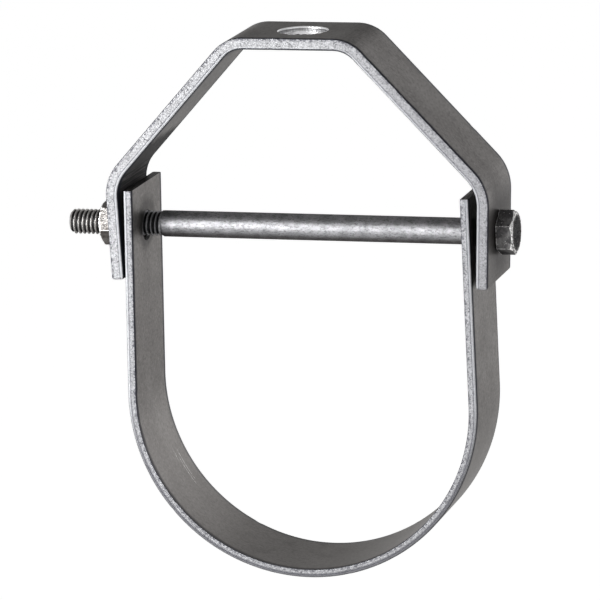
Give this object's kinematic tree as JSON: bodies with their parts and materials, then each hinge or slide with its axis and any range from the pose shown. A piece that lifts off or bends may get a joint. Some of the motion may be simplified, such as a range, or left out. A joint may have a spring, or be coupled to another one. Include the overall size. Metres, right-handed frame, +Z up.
{
  "type": "clevis hanger",
  "caption": "Adjustable pipe hanger: a bent flat bar yoke with a rod hole, and a U strap that swings under it on a cross bolt.",
  "frame": {"origin": "middle of the rod hole, halfway through the bar", "axes": "+X along the cross bolt towards its head, -Y front, +Z up along the rod hole's axis"},
  "size_m": [0.1632, 0.0356, 0.1939],
  "materials": {
    "plain_steel": "satin",
    "zinc_steel": "satin"
  },
  "bodies": {
    "yoke": {"yoke": "plain_steel"},
    "strap": {"strap": "plain_steel"},
    "bolt": {"cross_bolt": "zinc_steel"},
    "nut": {"hex_nut": "zinc_steel"}
  },
  "joints": [
    {"name": "strap_swing", "type": "hinge", "parent": "yoke", "child": "strap", "pos_m": [0, 0, -0.06825], "axis": [1, 0, 0], "range_deg": [-15, 15]},
    {"name": "bolt_turn", "type": "hinge", "parent": "yoke", "child": "bolt", "pos_m": [0, 0, -0.06825], "axis": [1, 0, 0], "range_deg": [0, 2160]},
    {"name": "nut_travel", "type": "slide", "parent": "yoke", "child": "nut", "axis": [-1, 0, 0], "range_m": [0, 0.0098]}
  ],
  "couplings": [
    {"joint": "nut_travel", "follows": "bolt_turn", "m_per_rad": 0.00025266}
  ]
}
